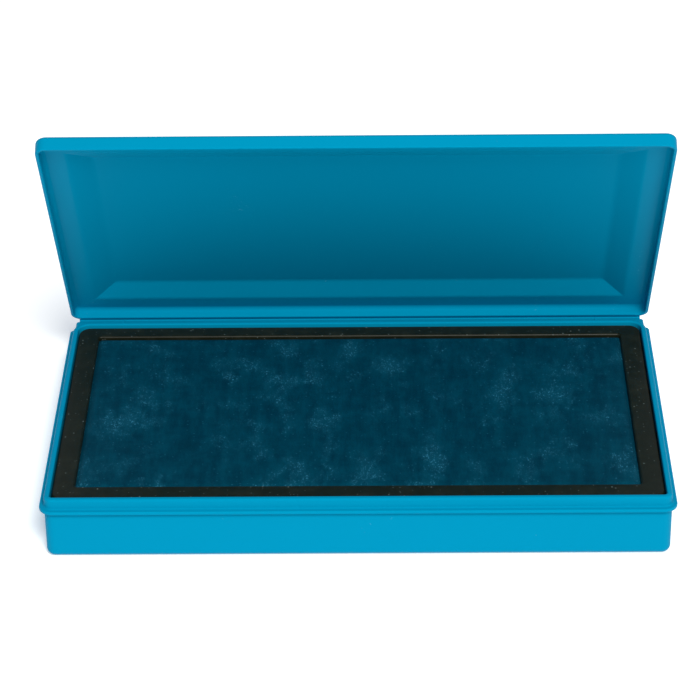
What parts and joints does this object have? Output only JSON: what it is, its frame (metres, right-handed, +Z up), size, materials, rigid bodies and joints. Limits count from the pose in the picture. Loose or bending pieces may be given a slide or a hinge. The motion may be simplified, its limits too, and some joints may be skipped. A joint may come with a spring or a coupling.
{
  "type": "ink pad",
  "caption": "Hinged plastic case with a framed, cloth-covered felt pad that inks rubber stamps; a shallow lid shuts over the pad.",
  "frame": {"origin": "middle of the flat underside of the case, on the surface it stands on", "axes": "+X to the right along the long side, -Y to the front, where the lid's free edge lies when shut, +Y to the hinge, +Z up"},
  "size_m": [0.178, 0.11, 0.1068],
  "materials": {
    "blue_polypropylene": "satin moulded polypropylene, bright cyan blue",
    "black_plastic": "black moulded plastic with a fine grain",
    "inked_cloth": "fine woven cotton soaked in dark blue ink, slightly damp sheen",
    "inked_felt": "dense felt soaked in dark blue ink"
  },
  "bodies": {
    "base": {"base_case": "blue_polypropylene", "living_hinge": "blue_polypropylene", "retaining_frame": "black_plastic", "insert_tray": "black_plastic", "pad_cloth": "inked_cloth", "ink_felt": "inked_felt"},
    "lid": {"lid": "blue_polypropylene"}
  },
  "joints": [
    {"name": "lid_hinge", "type": "hinge", "parent": "base", "child": "lid", "pos_m": [0, 0.0559, 0.01605], "axis": [-1, 0, 0], "range_deg": [-56, 124]}
  ]
}
